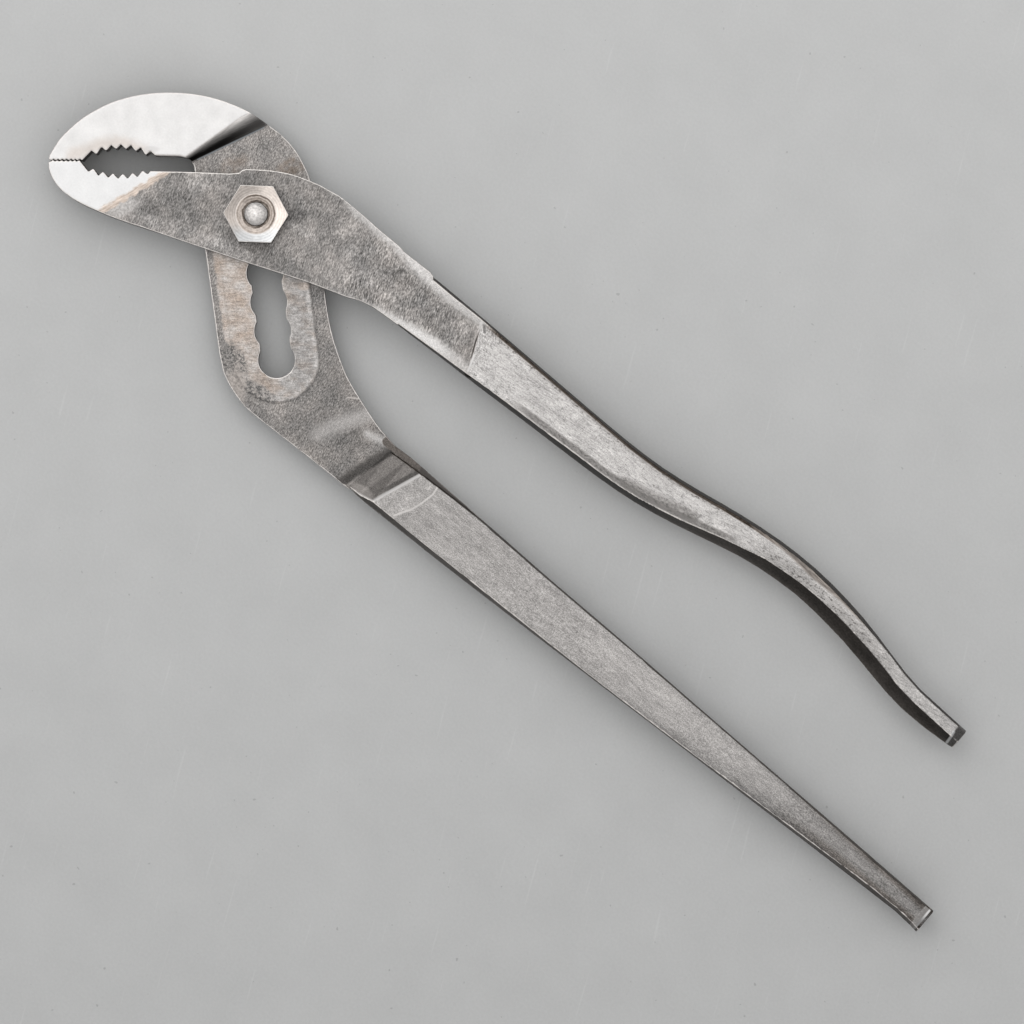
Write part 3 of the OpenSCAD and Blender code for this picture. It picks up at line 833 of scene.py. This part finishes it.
def front_steel():
    """Forged steel with a polished jaw, a stained plate and a silvery handle."""
    paint = Paint("front_steel")
    cloud = paint.noise(5.0, 2.0, 0.5)
    level = paint.x.curve([(-20, 0.57), (8, 0.55), (22, 0.59), (34, 0.59), (42, 0.6),
                           (50, 0.66)])
    tone = level + grained(paint, paint.along(105, 2.2)) * 0.6 + cloud * 0.3
    tone = tone + streaks(paint, 112) * 0.34
    coat = Coat(paint, tone, cloud * 0.5 + 0.4, paint.noise(2.0) * 0.2 + 0.46)
    lay_front_plate(coat)
    lay_jaw_front(coat)
    lay_front_handle(coat)
    lay_dish(coat)
    # painted light on the flanks: lighter lower down, and lighter on the bend's faces that look
    # towards -y
    bend = paint.x.band(112, 182, 8) * paint.ahead.ramp(-0.05, -0.25)
    lay_flank_skin_and_shade(coat, paint.z.ramp(10.5, 6.5, 0.24, 0.5) + bend * 0.1)
    lay_front_end(coat)
    lay_far_rims(coat, 0.88, 1.0 - paint.stroke([(52.6, 12.4), (56.4, 4.2)], 0.7, 0.3) * 0.9)
    return coat.finish(paint.noise(0.4, 2.0) * paint.x.ramp(-26.0, -22.0), 0.02)


def nut_steel():
    """Satin face with fine turned rings and a brown ring round the stud; painted light makes it
    lighter towards its right and lower sides and bluer at the lower one, and dark rings carry
    painted shade on the upper side.
    """
    paint = Paint("nut_steel")
    radius = (paint.x.square() + paint.y.square()).root()
    rings = (radius * 11.0 + paint.noise(1.5) * 3.0).wave()
    right = paint.beside((0.0, 0.0), (-0.64, 0.77)) * -1.0
    low = paint.beside((0.0, 0.0), (-0.77, -0.64))
    # painted light: the face is lighter towards its right and lower sides, and bluer towards the
    # lower one
    tone = right.ramp(-6.0, 6.0, 0.65, 0.91) + low.ramp(-6.0, 6.0, -0.06, 0.1)
    tone = tone + rings * 0.03 + paint.noise(0.5, 3.0) * 0.2 + paint.noise(2.4, 2.0) * 0.2
    coat = Coat(paint, tone, low.ramp(1.5, 5.0, 0.75, -0.05), SATIN)
    ring = radius + paint.noise(1.6, 3.0) * 0.9
    cone = radius.band(2.4, 4.3, 0.1)
    coat.lay(cone, paint.noise(0.6, 3.0) * 0.5 + 0.74, 0.9, lift=2.0)
    upper = paint.beside((0.0, 0.0), (1.0, -0.2)).ramp(-1.5, 2.0)
    coat.lay(ring.band(2.7, 2.95, 0.2) * (paint.noise(0.9, 2.0) * 1.6 + 0.7), 0.34, 1.4)
    # dark rings, darker on the upper side as painted shade
    coat.lay(ring.band(3.3, 3.4, 0.2) * upper * 0.4, 0.42, 1.6)
    coat.lay(ring.band(3.95, 4.1, 0.2) * (upper * 0.7 + 0.2), 0.42, 1.4)
    coat.lay(radius.band(4.3, 4.4, 0.15) * 0.4, 0.92, 0.4)
    lay_flank_skin_and_shade(coat, 0.36, 1.0 - cone)
    lay_rims(coat, 0.85, 1.0 - cone)
    return coat.finish(rings, 0.005)


def bolt_steel():
    """Bright, finely dented end of the stud, on a plain turned shank."""
    paint = Paint("bolt_steel")
    dents = paint.noise(0.5, 3.0, 0.6)
    coat = Coat(paint, dents * 0.6 + 0.86, 0.3, SATIN)
    coat.lay(paint.up.ramp(0.5, 0.1), paint.noise(0.8) * 0.3 + 0.5, 0.5)
    coat.lay(paint.up.band(0.3, 0.9, 0.1), lift=0.8)
    return coat.finish(dents, 0.05)


def make_floor():
    """Pale grey table with a painted light falloff, slightly darker away from one corner, and
    faint marks.
    """
    paint = Paint("floor")
    speck = paint.noise(1.4, 1.0).ramp(0.26, 0.29) * -0.2
    marks = paint.noise(14.0, 4.0) * 0.11 + paint.noise(0.6, 3.0, 0.7) * 0.16
    marks = marks + paint.noise(1.0, 2.0, 0.5, paint.along(115, 22.0)).ramp(0.17, 0.25) * 0.05
    # painted light falloff across the table
    across = paint.beside(VIEW_CENTRE, (82.8, -14.2))
    painted_falloff = across.ramp(160.0, -160.0, -0.1, 0.1, "LINEAR")
    tone = marks + speck + painted_falloff + 0.9
    color = paint.color(*[tone * part for part in FLOOR_COLOR])
    material = paint.finish(color, FLOOR_ROUGH, metal=0.0)
    x, y = (part * MM for part in VIEW_CENTRE)
    corners = [(x + i * FLOOR_HALF, y + j * FLOOR_HALF, -FLOOR_DROP * MM)
               for i, j in ((-1, -1), (1, -1), (1, 1), (-1, 1))]
    mesh = bpy.data.meshes.new("floor")
    mesh.from_pydata(corners, [], [(0, 1, 2, 3)])
    floor = bpy.data.objects.new("floor", mesh)
    bpy.context.scene.collection.objects.link(floor)
    mesh.materials.append(material)


def make_camera():
    """A long lens straight above, turned so that the tool lies across the picture's corner."""
    data = bpy.data.cameras.new("camera")
    data.sensor_width = SENSOR
    data.lens = SENSOR * VIEW_HEIGHT / VIEW_WIDTH
    data.clip_start = VIEW_NEAR
    data.clip_end = VIEW_FAR
    camera = bpy.data.objects.new("camera", data)
    camera.location = Vector((*VIEW_CENTRE, VIEW_LEVEL + VIEW_HEIGHT)) * MM
    camera.rotation_euler = (0.0, 0.0, HEAD_ANGLE)
    bpy.context.scene.collection.objects.link(camera)
    bpy.context.scene.camera = camera


def make_sky():
    """A soft sky that is bright overhead and darker low down."""
    world = bpy.data.worlds.new("studio")
    bpy.context.scene.world = world
    world.use_nodes = True
    tree = world.node_tree
    tree.nodes.clear()
    place = tree.nodes.new("ShaderNodeTexCoord")
    split = tree.nodes.new("ShaderNodeSeparateXYZ")
    tree.links.new(place.outputs["Generated"], split.inputs[0])
    strength = split.outputs["Z"]
    for operation, numbers in (("MAXIMUM", [0.0]), ("POWER", [SKY_STEEPNESS]),
                               ("MULTIPLY_ADD", [SKY_HIGH, SKY_LOW])):
        step = tree.nodes.new("ShaderNodeMath")
        step.operation = operation
        for socket, number in zip(step.inputs[1:], numbers):
            socket.default_value = number
        tree.links.new(strength, step.inputs[0])
        strength = step.outputs[0]
    sky = tree.nodes.new("ShaderNodeBackground")
    sky.inputs["Color"].default_value = (1.0, 1.0, 1.0, 1.0)
    tree.links.new(strength, sky.inputs["Strength"])
    output = tree.nodes.new("ShaderNodeOutputWorld")
    tree.links.new(sky.outputs["Background"], output.inputs["Surface"])


def make_key():
    """One large soft lamp, towards the top of the picture."""
    data = bpy.data.lights.new("key", "AREA")
    data.shape = "SQUARE"
    data.size = KEY_SIZE
    data.energy = KEY_POWER
    key = bpy.data.objects.new("key", data)
    c, s = math.cos(HEAD_ANGLE), math.sin(HEAD_ANGLE)
    right, over, high = KEY_PLACE
    centre = Vector((*VIEW_CENTRE, 0.0)) * MM
    key.location = centre + Vector((right * c - over * s, right * s + over * c, high))
    key.rotation_euler = (centre - key.location).to_track_quat("-Z", "Y").to_euler()
    bpy.context.scene.collection.objects.link(key)


make_camera()
make_sky()
make_key()
make_floor()
back = worn_copy("back_lever", "back_lever", LEVER_VOXEL, LEVER_FACES)
front = worn_copy("front_lever", "front_lever", LEVER_VOXEL, LEVER_FACES)
bolt = worn_copy("pivot_bolt", "pivot", SMALL_VOXEL, SMALL_FACES)
nut = worn_copy("hex_nut", "pivot", SMALL_VOXEL, SMALL_FACES)
dress(back, back_steel())
dress(front, front_steel())
dress(bolt, bolt_steel())
dress(nut, nut_steel())

bpy.context.scene.view_settings.view_transform = "Standard"
